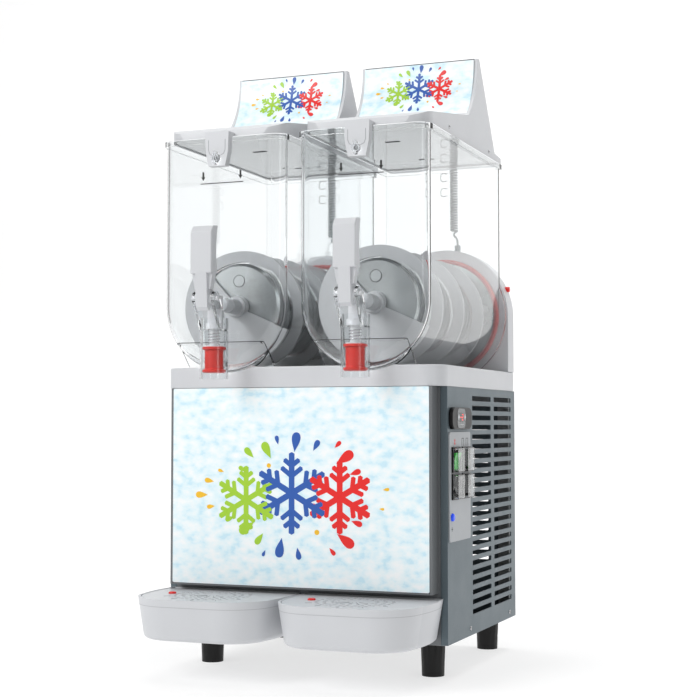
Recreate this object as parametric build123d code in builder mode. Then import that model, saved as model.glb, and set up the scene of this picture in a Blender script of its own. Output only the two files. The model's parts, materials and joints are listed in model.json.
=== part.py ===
"""Twin-bowl countertop slush machine, each piece in its own STEP file.

Millimetres. X runs across the machine, -Y is the front, +Z is up from the floor.
The origin is on the floor, under the middle of the machine.
"""
import os
from math import atan2, cos, degrees, radians, sin, sqrt

from build123d import *

os.makedirs("parts", exist_ok=True)

# Cabinet
WIDTH = 390.0
DEPTH = 319.0
FRONT = -90.0
REAR = FRONT + DEPTH
FLOOR_GAP = 46.0
FOOT_X = 158.0
FOOT_Y = (-38.0, 210.0)
DECK_UNDER = 370.0
DECK_TOP = 397.0
PROUD = 25.0
SHEET = 1.5
FIT = 0.3

# Bowls, evaporators and augers share one level axis on each side
BOWL_X = 97.5
AXIS_Z = 478.0
BOWL_R = 87.0
BOWL_WALL = 3.0
BOWL_FRONT = FRONT - 48.0
BOWL_REAR = REAR - 38.0
BOWL_CORNER = 16.0
RIM_Z = 697.0
RING_R = 96.0
RING_REAR = 196.0
DRUM_R = 59.0
DRUM_FRONT = -84.0
SHAFT_R = 6.0
RUNNING = 0.05
AUGER_R = 76.5
AUGER_INNER_R = 61.5
AUGER_FRONT = -90.0
PLATE_THICK = 5.0
NOSE_FRONT = -117.5
SHAFT_TIP = -126.0
AUGER_PITCH = 91.0
AUGER_TURNS = 2.8
BLADE_START_DEG = 157.0
PLATE_OPENING_DEG = (-24.0, 54.0, 132.0)

# Tap
TAP_Y = -158.0
TAP_R = 18.3
TAP_BORE_R = 15.3
TAP_BOTTOM = 380.0
TAP_TOP = 458.0
PIVOT_Y = -182.0
PIVOT_Z = 482.0
ARM = 24.0
HALF_STROKE_DEG = 18.5
ROLLER_R = 4.0
BRIDGE_Z = 441.5

# Lid
LID_HALF = 85.0
LID_FRONT = -136.0
LID_REAR = 213.0
LID_Z = RIM_Z + FIT
LID_WALL = 3.0
TOPPER_TOP = 830.0
LEDGE_FRONT = 196.0

# Drip trays
TRAY_TOP = 104.5
TRAY_BOTTOM = 52.0
TRAY_FRONT = -229.0
TRAY_REAR = FRONT - 0.5
GRILLE_REAR = -106.5
FLOAT_DX = -58.0
FLOAT_Y = -158.5

# Controls on the right flank
SWITCH_Y = (-63.0, -21.0)
SWITCH_Z = (277.0, 243.0)
PLATE_X = WIDTH / 2 + 2.0
ROCKER_TILT = 10.0

SIDES = {"left": -1, "right": 1}


def save(name, piece):
    """Label a finished piece and write it to its own file."""
    piece.label = name
    export_step(piece, f"parts/{name}.step")


def facing(y):
    """Sketch plane that faces the front at depth y, with local x = X and local y = Z."""
    return Plane.XZ.offset(-y)


def block(x, y, z, mode=Mode.ADD):
    """Box between two limits on each axis."""
    with Locations(((x[0] + x[1]) / 2, (y[0] + y[1]) / 2, (z[0] + z[1]) / 2)):
        Box(x[1] - x[0], y[1] - y[0], z[1] - z[0], mode=mode)


def rod(start, direction, radius, length, mode=Mode.ADD):
    """Cylinder that begins at a point and runs along a direction."""
    with Locations(Plane(origin=start, z_dir=direction)):
        Cylinder(radius, length, align=(Align.CENTER, Align.CENTER, Align.MIN), mode=mode)


def turned(x, profile, mode=Mode.ADD):
    """Ring or drum about the bowl axis at x; profile is (y, radius) pairs."""
    outline = Wire.make_polygon([(x, y, AXIS_Z + r) for y, r in profile])
    revolve(Face(outline), axis=Axis((x, 0, AXIS_Z), (0, 1, 0)), mode=mode)


# ---------------------------------------------------------------- cabinet

def chassis():
    """Base pan with upturned edges, four corner uprights and two top rails."""
    half = WIDTH / 2 - SHEET - 0.4
    y0 = FRONT + SHEET + 0.4
    y1 = REAR - 2 * SHEET - 0.6
    top = DECK_UNDER - 0.4
    leg = 22.0
    with BuildPart() as piece:
        block((-half, half), (y0, y1), (FLOOR_GAP, FLOOR_GAP + 2))
        for side in SIDES.values():
            edge = side * half
            wall = tuple(sorted((edge, edge - side * 2)))
            foot = tuple(sorted((edge, edge - side * leg)))
            block(wall, (y0, y1), (FLOOR_GAP, FLOOR_GAP + leg))
            for y in (y0, y1 - 2):
                block(foot, (y, y + 2), (FLOOR_GAP, top))
            block(wall, (y1 - leg, y1), (FLOOR_GAP, top))
        for y in (y0, y1 - 2):
            block((-half, half), (y, y + 2), (top - leg, top))
    return piece.part


def side_panel(side):
    """Sheet with folded front and rear flanges and two columns of vent slots."""
    outer = side * WIDTH / 2
    flange = 9.0
    bottom = FLOOR_GAP + 0.5
    height = DECK_UNDER - 0.4 - bottom
    slot_rows = 23
    slot_pitch = 12.73
    with BuildPart() as piece:
        with BuildSketch(Plane.XY.offset(bottom)):
            with Locations((outer - side * SHEET / 2, FRONT + DEPTH / 2)):
                Rectangle(SHEET, DEPTH)
            for y in (FRONT + SHEET / 2, REAR - SHEET / 2):
                with Locations((outer - side * flange / 2, y)):
                    Rectangle(flange, SHEET)
        extrude(amount=height)
        with BuildSketch(Plane.YZ.offset(outer - 4)):
            with Locations((112.5, 216.0)):
                with GridLocations(103.0, slot_pitch, 2, slot_rows):
                    RectangleRounded(88.0, 6.6, 1.6)
            if side > 0:
                with Locations((-42.5, 329.5)):
                    Rectangle(72.0, 24.0)
                for y in SWITCH_Y:
                    for z in SWITCH_Z:
                        with Locations((y, z)):
                            Rectangle(28.0, 29.0)
                with Locations((-78.0, 205.0)):
                    Circle(4.2)
        extrude(amount=8, mode=Mode.SUBTRACT)
    return piece.part


def rear_panel():
    """Rear sheet with rows of vent slots and the hole for the cable gland."""
    half = WIDTH / 2 - SHEET - 0.3
    y = REAR - SHEET - 0.2
    with BuildPart() as piece:
        block((-half, half), (y - SHEET, y), (FLOOR_GAP + 0.5, DECK_UNDER - 0.5))
        with BuildSketch(facing(y + 2)):
            with Locations((30.0, 220.0)):
                with GridLocations(90.0, 14.0, 3, 14):
                    RectangleRounded(72.0, 6.6, 1.6)
            with Locations((-150.0, 90.0)):
                Circle(8.2)
        extrude(amount=6, mode=Mode.SUBTRACT)
    return piece.part


def front_frame():
    """Front sheet, with the box-section surround that carries the graphic panel."""
    half = WIDTH / 2 - 9.5
    bottom = FLOOR_GAP + 0.5
    top = DECK_UNDER - 0.5
    ring_bottom = 111.0
    with BuildPart() as piece:
        block((-half, half), (FRONT, FRONT + SHEET), (bottom, top))
        block((-182.5, 182.5), (FRONT - PROUD + 0.6, FRONT), (ring_bottom, top))
        block((-179.5, 179.5), (FRONT - PROUD, FRONT - SHEET), (ring_bottom + 2, top + 1), mode=Mode.SUBTRACT)
    return piece.part


def front_panel():
    """Flat graphic panel that slots into its surround."""
    with BuildPart() as piece:
        block((-179, 179), (FRONT - PROUD, FRONT - PROUD + 4), (113.5, DECK_UNDER - 0.7))
        fillet(piece.edges().filter_by(Axis.Y), 2.0)
    return piece.part


def deck():
    """Moulded top deck, hollow below, with a cradle for each bowl."""
    y0 = FRONT - PROUD
    with BuildPart() as piece:
        with BuildSketch(Plane.XY.offset(DECK_UNDER)) as plan:
            with Locations((0, (y0 + REAR) / 2)):
                Rectangle(WIDTH, REAR - y0)
            fillet(plan.vertices().group_by(Axis.Y)[0], 28.0)
            fillet(plan.vertices().group_by(Axis.Y)[-1], 6.0)
        extrude(amount=DECK_TOP - DECK_UNDER)
        fillet(piece.faces().sort_by(Axis.Z)[-1].edges(), 2.0)
        with BuildSketch(Plane.XY.offset(DECK_UNDER)):
            with Locations((0, (y0 + REAR) / 2)):
                RectangleRounded(WIDTH - 8, REAR - y0 - 8, 24.0)
        extrude(amount=8, mode=Mode.SUBTRACT)
        for side in SIDES.values():
            x = side * BOWL_X
            turned(x, [(y0 - 5, 0), (y0 - 5, BOWL_R + 1), (BOWL_REAR, BOWL_R + 1), (BOWL_REAR, 0)],
                   mode=Mode.SUBTRACT)
            turned(x, [(BOWL_REAR - 5, 0), (BOWL_REAR - 5, RING_R + 0.6), (RING_REAR + 0.4, RING_R + 0.6),
                       (RING_REAR + 0.4, 0)], mode=Mode.SUBTRACT)
            block((x - 30, x + 30), (203, 222), (DECK_UNDER, DECK_TOP + 1), mode=Mode.SUBTRACT)
    return piece.part


def housing_outline(radius, base):
    """Two arches over a straight base, with the valley between them filled."""
    for side in SIDES.values():
        with Locations((side * BOWL_X, AXIS_Z + 1)):
            Circle(radius)
    half = BOWL_X + radius
    with Locations((0, (base + AXIS_Z + 1) / 2)):
        Rectangle(2 * half, AXIS_Z + 1 - base)
    with Locations((0, (base + AXIS_Z + 1 + radius * 0.63) / 2)):
        Rectangle(90.0, AXIS_Z + 1 + radius * 0.63 - base)


def rear_housing():
    """Twin-arched shell behind the bowls, open below, over the gear motors."""
    y0 = RING_REAR + 0.5
    radius = WIDTH / 2 - BOWL_X
    with BuildPart() as piece:
        with BuildSketch(facing(y0)):
            housing_outline(radius, DECK_TOP + FIT)
        extrude(amount=-(REAR - y0))
        block((-WIDTH, WIDTH), (y0 - 1, REAR + 1), (DECK_UNDER, DECK_TOP + FIT), mode=Mode.SUBTRACT)
        fillet(piece.faces().sort_by(Axis.Y)[-1].edges().filter_by(GeomType.CIRCLE), 3.0)
        with BuildSketch(facing(y0 + 3)):
            housing_outline(radius - 3, DECK_TOP - 5)
        extrude(amount=-(REAR - y0 - 6), mode=Mode.SUBTRACT)
        for side in SIDES.values():
            rod((side * BOWL_X, y0 - 1, AXIS_Z), (0, 1, 0), 30.0, 6, mode=Mode.SUBTRACT)
        rod((170, 218, 518), (1, 0, 0), 4.3, 30, mode=Mode.SUBTRACT)
    return piece.part


def feet():
    """Four tapered, fluted rubber feet with flat ends."""
    with BuildPart() as piece:
        for y in FOOT_Y:
            for side in SIDES.values():
                with Locations((side * FOOT_X, y, 0)):
                    Cone(14.5, 16.0, FLOOR_GAP - 3, align=(Align.CENTER, Align.CENTER, Align.MIN))
                    with PolarLocations(16.2, 12):
                        Cylinder(1.3, FLOOR_GAP, align=(Align.CENTER, Align.CENTER, Align.MIN), mode=Mode.SUBTRACT)
                rod((side * FOOT_X, y, FLOOR_GAP - 3), (0, 0, 1), 17.0, 3)
    return piece.part


# ---------------------------------------------------------------- inside the cabinet

def compressor():
    """Hermetic compressor: a domed can with suction and discharge stubs."""
    base = FLOOR_GAP + 2
    with BuildPart() as piece:
        with BuildSketch(Plane.XY.offset(base + 12)):
            with Locations((90, 110)):
                Ellipse(70, 55)
        extrude(amount=125)
        fillet(piece.faces().sort_by(Axis.Z)[-1].edges(), 30.0)
        block((15, 165), (60, 160), (base + 9, base + 12.5))
        for x in (25, 155):
            for y in (70, 150):
                rod((x, y, base), (0, 0, 1), 7.0, 10)
        rod((60, 110, base + 130), (0, 0, 1), 4.0, 30)
        rod((120, 110, base + 130), (0, 0, 1), 3.0, 30)
    return piece.part


def condenser():
    """Fin-and-tube condenser behind the left-hand vent slots."""
    base = FLOOR_GAP + 2
    fins = 26
    with BuildPart() as piece:
        for x in (-186.0, -152.0):
            for z in (base + 40, base + 110, base + 180):
                rod((x + 9 if x < -170 else x - 9, -60, z), (0, 1, 0), 4.0, 200)
        with Locations((-169, 40, base + 110)):
            with GridLocations(0, 8.0, 1, fins):
                Box(34, 1.2, 218)
        block((-188, -150), (-62, -59), (base, base + 222))
        block((-188, -150), (139, 142), (base, base + 222))
    return piece.part


FAN_Y = 40.0
FAN_Z = 165.0


def fan_motor():
    """Fan motor on a bracket that stands on the base pan."""
    with BuildPart() as piece:
        rod((-110, FAN_Y, FAN_Z), (1, 0, 0), 30.0, 45)
        rod((-128, FAN_Y, FAN_Z), (1, 0, 0), 4.0, 20)
        block((-68, -65), (FAN_Y - 22, FAN_Y + 22), (FLOOR_GAP + 2, FAN_Z + 20))
        block((-98, -65), (FAN_Y - 22, FAN_Y + 22), (FLOOR_GAP + 2, FLOOR_GAP + 5))
    return piece.part


def fan_blade():
    """Five pitched blades on a hub that turns on the motor shaft."""
    with BuildPart() as piece:
        for turn in range(5):
            spoke = Plane(origin=(-128, FAN_Y, FAN_Z), z_dir=(0, sin(turn * radians(72)), cos(turn * radians(72))),
                          x_dir=(0.86, 0.5 * cos(turn * radians(72)), -0.5 * sin(turn * radians(72))))
            with BuildSketch(spoke.offset(10)):
                Rectangle(3.0, 34.0)
            extrude(amount=72)
        rod((-140, FAN_Y, FAN_Z), (1, 0, 0), 18.0, 20)
        rod((-141, FAN_Y, FAN_Z), (1, 0, 0), 4.0 + RUNNING, 40, mode=Mode.SUBTRACT)
        rod((-140, FAN_Y, FAN_Z), (1, 0, 0), 18.0, 5)
    return piece.part


# ---------------------------------------------------------------- controls

def control_plate():
    """Printed plate on the right flank, cut out for the switches and the lamp."""
    x0 = WIDTH / 2 + 0.1
    with BuildPart() as piece:
        with BuildSketch(Plane.YZ.offset(x0)):
            with Locations((-42.5, 243.0)):
                RectangleRounded(89.0, 138.0, 4.0)
            for y in SWITCH_Y:
                for z in SWITCH_Z:
                    with Locations((y, z)):
                        Rectangle(28.0, 29.0, mode=Mode.SUBTRACT)
            with Locations((-78.0, 205.0)):
                Circle(4.2, mode=Mode.SUBTRACT)
        extrude(amount=PLATE_X - x0)
    return piece.part


def thermostat():
    """Digital thermostat: round-ended bezel with its body behind the flank sheet."""
    x0 = WIDTH / 2 + 0.1
    with BuildPart() as piece:
        with BuildSketch(Plane.YZ.offset(x0)):
            with Locations((-42.5, 329.5)):
                RectangleRounded(85.0, 28.0, 11.0)
        extrude(amount=5)
        fillet(piece.faces().sort_by(Axis.X)[-1].edges(), 1.6)
        block((x0 - 50, x0), (-78, -7), (318, 341))
    return piece.part


def switch_frames():
    """Four rocker-switch housings, each a frame with its body behind the plate."""
    with BuildPart() as piece:
        for y in SWITCH_Y:
            for z in SWITCH_Z:
                block((PLATE_X + 0.1, PLATE_X + 2.2), (y - 17, y + 17), (z - 16.3, z + 16.3))
                block((PLATE_X - 24, PLATE_X + 0.1), (y - 13.5, y + 13.5), (z - 14.2, z + 14.2))
                block((PLATE_X - 17, PLATE_X + 3), (y - 11.5, y + 11.5), (z - 13.4, z + 13.4), mode=Mode.SUBTRACT)
    return piece.part


def rocker(y, z, tilt):
    """Rocker cap, V-shaped in side view, tilted about its pivot."""
    pivot_x = PLATE_X - 7.0
    with BuildPart() as piece:
        with BuildSketch(facing(y - 11.0)):
            with BuildLine():
                Polyline((pivot_x - 3, z - 6), (pivot_x + 10.0, z - 11), (pivot_x + 8.4, z),
                         (pivot_x + 10.0, z + 11), (pivot_x - 3, z + 6), close=True)
            make_face()
        extrude(amount=-22)
    return piece.part.rotate(Axis((pivot_x, y, z), (0, 1, 0)), tilt)


def status_lamp():
    """Round pilot lamp with a domed lens."""
    with BuildPart() as piece:
        rod((PLATE_X - 18, -78, 205), (1, 0, 0), 4.0, 18)
        rod((PLATE_X, -78, 205), (1, 0, 0), 5.0, 3)
        fillet(piece.faces().sort_by(Axis.X)[-1].edges(), 2.0)
    return piece.part


def power_gland():
    """Cable gland through the rear panel: nut inside, domed cap outside."""
    y = REAR - SHEET - 0.2
    with BuildPart() as piece:
        rod((-150, y - 20, 90), (0, 1, 0), 8.0, 26)
        with BuildSketch(facing(y)):
            with Locations((-150, 90)):
                RegularPolygon(13.0, 6)
        extrude(amount=-6)
        rod((-150, y - 22, 90), (0, 1, 0), 3.5, 40, mode=Mode.SUBTRACT)
    return piece.part


# ---------------------------------------------------------------- bowls and what turns in them

def bowl_volume(x, radius, y0, y1, corner):
    """Tank shape: straight walls over a half-round trough, rounded at the front."""
    with BuildPart() as solid:
        with BuildSketch(facing(y0)):
            with Locations((x, AXIS_Z)):
                Circle(radius)
            with Locations((x, (AXIS_Z + RIM_Z) / 2)):
                Rectangle(2 * radius, RIM_Z - AXIS_Z)
        extrude(amount=-(y1 - y0))
        front_edges = solid.faces().sort_by(Axis.Y)[0].edges()
        fillet(front_edges.sort_by(Axis.Z)[:-1], corner)
    return solid.part


def bowl(side):
    """Clear bowl: tank, rim, rear locking ring, feet wedges and the moulded tap."""
    x = side * BOWL_X
    inner_r = BOWL_R - BOWL_WALL
    shell = bowl_volume(x, BOWL_R, BOWL_FRONT, BOWL_REAR, BOWL_CORNER)
    cavity = bowl_volume(x, inner_r, BOWL_FRONT + BOWL_WALL, BOWL_REAR - BOWL_WALL, BOWL_CORNER - BOWL_WALL)
    port_z = 401.4
    with BuildPart() as piece:
        add(shell)
        with BuildSketch(Plane.XY.offset(RIM_Z - 7)) as rim:
            with Locations((x, (BOWL_FRONT + BOWL_REAR) / 2)):
                Rectangle(2 * BOWL_R + 6, BOWL_REAR - BOWL_FRONT + 6)
            fillet(rim.vertices().group_by(Axis.Y)[0], BOWL_CORNER + 3)
        extrude(amount=7)
        turned(x, [(BOWL_REAR - 4, 0), (BOWL_REAR - 4, RING_R), (BOWL_REAR + 2, RING_R), (BOWL_REAR + 2, 0)])
        block((x - 60, x + 60), (BOWL_FRONT - 8, BOWL_FRONT + 1), (425.5, 428.0))
        with BuildSketch(Plane.YZ.offset(x)):
            with BuildLine():
                Polyline((BOWL_FRONT, 428), (BOWL_FRONT + 30, 398), (BOWL_FRONT + 34, 398),
                         (BOWL_FRONT + 4, 428), close=True)
            make_face()
        extrude(amount=62, both=True)
        rod((x, TAP_Y, TAP_BOTTOM), (0, 0, 1), TAP_R, TAP_TOP - TAP_BOTTOM)
        rod((x, TAP_Y, port_z), (0, 1, 0), 11.0, BOWL_FRONT + 9 - TAP_Y)
        block((x - 9, x + 9), (TAP_Y + 14, BOWL_FRONT + 1), (TAP_BOTTOM + 8, TAP_TOP - 6))
        for ear in (-15.4, 11.4):
            with BuildSketch(Plane.YZ.offset(x + ear)):
                with Locations((PIVOT_Y, PIVOT_Z)):
                    Circle(9.0)
                with Locations((TAP_Y - 4, 448.0)):
                    Circle(9.0)
                make_hull()
            extrude(amount=4)
        add(cavity, mode=Mode.SUBTRACT)
        turned(x, [(150, 0), (150, inner_r), (200, inner_r), (200, 0)], mode=Mode.SUBTRACT)
        rod((x, TAP_Y, TAP_BOTTOM - 1), (0, 0, 1), TAP_BORE_R, 90, mode=Mode.SUBTRACT)
        rod((x, TAP_Y, port_z), (0, 1, 0), 7.0, BOWL_FRONT + 20 - TAP_Y, mode=Mode.SUBTRACT)
        rod((x - 20, PIVOT_Y, PIVOT_Z), (1, 0, 0), 3.0 + RUNNING, 40, mode=Mode.SUBTRACT)
        rod((x, TAP_Y, BRIDGE_Z), (0, 0, 1), TAP_BORE_R + 1, 2)
        rod((x, TAP_Y, BRIDGE_Z - 1), (0, 0, 1), 6.8, 4, mode=Mode.SUBTRACT)
    return piece.part


def evaporators():
    """Two closed steel drums, each with the rear flange that its bowl seals on."""
    with BuildPart() as piece:
        for side in SIDES.values():
            bore = SHAFT_R + RUNNING
            turned(side * BOWL_X, [
                (DRUM_FRONT, bore), (DRUM_FRONT, DRUM_R - 4), (DRUM_FRONT + 4, DRUM_R), (184, DRUM_R),
                (184, 77.6), (RING_REAR, 77.6), (RING_REAR, DRUM_R - 5), (DRUM_FRONT + 7, DRUM_R - 5),
                (DRUM_FRONT + 7, bore + 6), (DRUM_FRONT + 30, bore + 6), (DRUM_FRONT + 30, bore)])
    return piece.part


def bowl_seals():
    """Two lipped rubber rings between the drum flanges and the bowls."""
    with BuildPart() as piece:
        for side in SIDES.values():
            turned(side * BOWL_X, [(181, 80.5), (181, 82.5), (184.5, 83.7), (195.5, 83.7), (195.5, 77.7),
                                   (184.5, 77.7)])
    return piece.part


def gear_motors():
    """Two flat gear motors inside the rear housing, bored for the drive shafts."""
    with BuildPart() as piece:
        for side in SIDES.values():
            x = side * BOWL_X
            block((x - 38, x + 38), (201, 223), (AXIS_Z - 62, AXIS_Z + 38))
            rod((x, 195, AXIS_Z), (0, 1, 0), 20.0, 7)
            rod((x, 194, AXIS_Z), (0, 1, 0), SHAFT_R + RUNNING, 26, mode=Mode.SUBTRACT)
        fillet(piece.edges().filter_by(Axis.Y), 6.0)
    return piece.part


def drive_shaft(side):
    """Stainless shaft from the gear motor through the drum to the auger hub."""
    with BuildPart() as piece:
        rod((side * BOWL_X, SHAFT_TIP, AXIS_Z), (0, 1, 0), SHAFT_R, 217 - SHAFT_TIP)
        chamfer(piece.edges().filter_by(GeomType.CIRCLE), 0.6)
    return piece.part


def auger_blade(x):
    """Helical blade that starts at the edge of the front plate and winds back."""
    mean_r = (AUGER_R + AUGER_INNER_R) / 2
    centre = Vector(x, AUGER_FRONT + 3, AXIS_Z)
    with BuildPart() as blade:
        with BuildLine() as path:
            Helix(AUGER_PITCH, AUGER_PITCH * AUGER_TURNS, mean_r, center=centre, direction=(0, 1, 0))
        start = path.line @ 0
        outward = (start - centre).normalized()
        with BuildSketch(Plane(origin=start, z_dir=path.line % 0, x_dir=outward)):
            Rectangle(AUGER_R - AUGER_INNER_R, 5.0)
        sweep(path=path.line, is_frenet=True)
    start_angle = degrees(atan2(outward.Z, outward.X))
    return blade.part.rotate(Axis((x, 0, AXIS_Z), (0, 1, 0)), start_angle - BLADE_START_DEG)


def auger(side):
    """Slush auger: helical blade round the drum, closed by a front plate and hub."""
    x = side * BOWL_X
    far = 2 * AUGER_R
    corners = [(far * cos(radians(a)), far * sin(radians(a))) for a in PLATE_OPENING_DEG]
    with BuildPart() as piece:
        with BuildSketch(facing(AUGER_FRONT)):
            with Locations((x, AXIS_Z)):
                Circle(AUGER_R + 1.0)
            with BuildLine():
                Polyline((x, AXIS_Z), *[(x + dx, AXIS_Z + dz) for dx, dz in corners], close=True)
            make_face(mode=Mode.SUBTRACT)
            with Locations((x, AXIS_Z)):
                Circle(15.0)
                Circle(SHAFT_R, mode=Mode.SUBTRACT)
        extrude(amount=-PLATE_THICK)
        rear = AUGER_FRONT + PLATE_THICK
        turned(x, [(NOSE_FRONT, SHAFT_R), (NOSE_FRONT, 9), (NOSE_FRONT + 1, 10), (AUGER_FRONT - 6, 10),
                   (AUGER_FRONT - 6, 13), (AUGER_FRONT - 5, 14), (rear, 14), (rear, SHAFT_R)])
        add(auger_blade(x))
    return piece.part


def auger_bushes():
    """Two nose bushes that seat the shaft ends against the bowl fronts."""
    front = BOWL_FRONT + BOWL_WALL + 0.1
    rear = NOSE_FRONT - 0.5
    with BuildPart() as piece:
        for side in SIDES.values():
            x = side * BOWL_X
            turned(x, [(front, 0), (front, 8), (front + 2, 9.5), (rear, 9.5), (rear, SHAFT_R + RUNNING),
                       (SHAFT_TIP - 0.5, SHAFT_R + RUNNING), (SHAFT_TIP - 0.5, 0)])
    return piece.part


# ---------------------------------------------------------------- taps

def roller_centre():
    """Place of the lever's roller with the tap shut."""
    angle = radians(HALF_STROKE_DEG)
    return PIVOT_Y + ARM * cos(angle), PIVOT_Z - ARM * sin(angle)


def tap_handle(side):
    """Tap lever: paddle grip, ribbed stem, trunnions and the lifting arm."""
    x = side * BOWL_X
    roller_y, roller_z = roller_centre()
    with BuildPart() as piece:
        with BuildSketch(Plane.YZ.offset(x - 15)):
            with BuildLine():
                Line((-197, 513), (-197, 566))
                Line((-197, 566), (-191, 574))
                Line((-191, 574), (-177, 576))
                ThreePointArc((-177, 576), (-181.5, 545), (-178, 513))
                Line((-178, 513), (-197, 513))
            make_face()
        extrude(amount=30)
        fillet(piece.edges(), 1.8)
        with BuildSketch(facing(-192)):
            with BuildLine():
                Polyline((x - 14.5, 514), (x + 14.5, 514), (x + 11, 493), (x - 11, 493), close=True)
            make_face()
        extrude(amount=-10)
        with BuildSketch(Plane.YZ.offset(x - 8)):
            with BuildLine():
                Polyline((-197, 516), (-180, 516), (-175, 482), (-181, 472), (-188, 466), (-194, 470), close=True)
            make_face()
        extrude(amount=16)
        rod((x - 11, PIVOT_Y, PIVOT_Z), (1, 0, 0), 8.5, 22)
        rod((x - 18, PIVOT_Y, PIVOT_Z), (1, 0, 0), 3.0, 36)
        arm_plane = Plane.YZ.offset(x - 3)
        with BuildSketch(arm_plane):
            with Locations(((PIVOT_Y + roller_y) / 2, (PIVOT_Z + roller_z) / 2)):
                Rectangle(ARM, 5.0, rotation=-HALF_STROKE_DEG)
            with Locations((roller_y, roller_z)):
                Circle(ROLLER_R)
        extrude(amount=6)
    return piece.part


def piston(side):
    """Tap plunger: stem, collar and the slotted head that the lever lifts."""
    x = side * BOWL_X
    roller_z = roller_centre()[1]
    with BuildPart() as piece:
        rod((x, TAP_Y, 390), (0, 0, 1), 6.5, 56)
        rod((x, TAP_Y, 421.3), (0, 0, 1), 11.5, 1.6)
        rod((x, TAP_Y, 444), (0, 0, 1), 11.0, 8)
        block((x - 8, x + 8), (-161.5, -149.5), (450, 488))
        block((x - 9, x + 9), (-163, -152.5), (roller_z - 4.2, roller_z + 4.2), mode=Mode.SUBTRACT)
        fillet(piece.faces().sort_by(Axis.Z)[-1].edges(), 1.5)
    return piece.part


def piston_seal(side):
    """Rubber sleeve on the plunger, with a sealing lip at each end."""
    axis_x = side * BOWL_X
    with BuildPart() as piece:
        with BuildSketch(Plane.XZ.offset(-TAP_Y)):
            with BuildLine():
                Polyline((axis_x, 388), (axis_x + 13.5, 388), (axis_x + 15, 389), (axis_x + 15, 391.5),
                         (axis_x + 12, 393), (axis_x + 12, 416.5), (axis_x + 15, 418), (axis_x + 15, 420.5),
                         (axis_x + 14, 421.2), (axis_x + 6.55, 421.2), (axis_x + 6.55, 389.9),
                         (axis_x, 389.9), close=True)
            make_face()
        revolve(axis=Axis((axis_x, TAP_Y, 0), (0, 0, 1)))
    return piece.part


def tap_spring(side):
    """Closing spring between the plunger's collar and the bridge in the tap."""
    x = side * BOWL_X
    low = 423.6
    wire = 0.55
    height = BRIDGE_Z - low - 2 * wire - 0.2
    with BuildPart() as piece:
        with BuildLine() as path:
            Helix(height / 4, height, 8.6, center=(x, TAP_Y, low + wire))
        with BuildSketch(Plane(origin=path.line @ 0, z_dir=path.line % 0)):
            Circle(wire)
        sweep(path=path.line, is_frenet=True)
    return piece.part


# ---------------------------------------------------------------- lids

def topper_curve():
    """Swept front of the illuminated header, in side view."""
    ThreePointArc((46, 741), (76, 775), (90, 829))


def lid_volume(x, half, inset):
    """Lid body in side view, extruded across and rounded at its front corners."""
    with BuildPart() as solid:
        with BuildSketch(Plane.YZ.offset(x - half)):
            with BuildLine():
                Polyline((90, 829), (100, TOPPER_TOP), (176, 711), (LID_REAR, 708), (LID_REAR, LID_Z),
                         (LID_FRONT, LID_Z), (LID_FRONT + 2, LID_Z + 10), (LID_FRONT + 18, 714), (46, 741))
                topper_curve()
            make_face()
            if inset:
                offset(amount=-inset)
        extrude(amount=2 * half)
    with BuildPart() as trimmed:
        with BuildSketch(Plane.XY.offset(LID_Z - 20)) as plan:
            with Locations((x, (LID_FRONT + LID_REAR) / 2)):
                Rectangle(2 * half, LID_REAR - LID_FRONT - 2 * inset)
            fillet(plan.vertices().group_by(Axis.Y)[0], 32.0 - inset)
            fillet(plan.vertices().group_by(Axis.Y)[-1], 6.0)
        extrude(amount=200)
        add(solid.part, mode=Mode.INTERSECT)
    return trimmed.part


def lid(side):
    """Moulded lid with its header and lock tongue, hollow and open below."""
    x = side * BOWL_X
    shell = lid_volume(x, LID_HALF, 0)
    hollow = lid_volume(x, LID_HALF - LID_WALL, LID_WALL)
    with BuildPart() as piece:
        add(shell)
        add(hollow, mode=Mode.SUBTRACT)
        with BuildSketch(Plane.XY.offset(LID_Z - 1)) as mouth:
            with Locations((x, (LID_FRONT + LEDGE_FRONT) / 2 + LID_WALL / 2)):
                Rectangle(2 * (LID_HALF - LID_WALL), LEDGE_FRONT - LID_FRONT - LID_WALL)
            fillet(mouth.vertices().group_by(Axis.Y)[0], 32.0 - LID_WALL)
        extrude(amount=6, mode=Mode.SUBTRACT)
        block((x - 60, x + 60), (LEDGE_FRONT, LID_REAR - 1), (LID_Z, 706))
        with BuildSketch(Plane.YZ.offset(x - 80.8)):
            with BuildLine() as band:
                topper_curve()
            trace(line_width=14.0)
            with Locations((32, 738)):
                Rectangle(40, 30, mode=Mode.SUBTRACT)
        extrude(amount=161.6, mode=Mode.SUBTRACT)
        with BuildSketch(facing(BOWL_FRONT - 15)):
            with BuildLine():
                Polyline((x - 17, 702), (x + 17, 702), (x + 16, 676), (x + 12, 657), (x - 12, 657),
                         (x - 16, 676), close=True)
            make_face()
        extrude(amount=-11.2)
        block((x - 17, x + 17), (BOWL_FRONT - 10, LID_FRONT + 2.5), (LID_Z + 0.1, 702))
        rod((x, BOWL_FRONT - 16, 667), (0, 1, 0), 3.0 + RUNNING, 9, mode=Mode.SUBTRACT)
    return piece.part


def lid_cover(side):
    """Clear plate that closes the underside of the lid, with two oval vents."""
    x = side * BOWL_X
    y0 = LID_FRONT + LID_WALL + FIT
    y1 = LEDGE_FRONT - FIT
    with BuildPart() as piece:
        with BuildSketch(Plane.XY.offset(LID_Z + 1)) as plan:
            with Locations((x, (y0 + y1) / 2)):
                Rectangle(2 * (LID_HALF - LID_WALL - FIT), y1 - y0)
            fillet(plan.vertices().group_by(Axis.Y)[0], 30.0)
            with Locations((x, -20), (x, 120)):
                SlotOverall(22, 8, mode=Mode.SUBTRACT)
        extrude(amount=2.4)
    return piece.part


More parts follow.
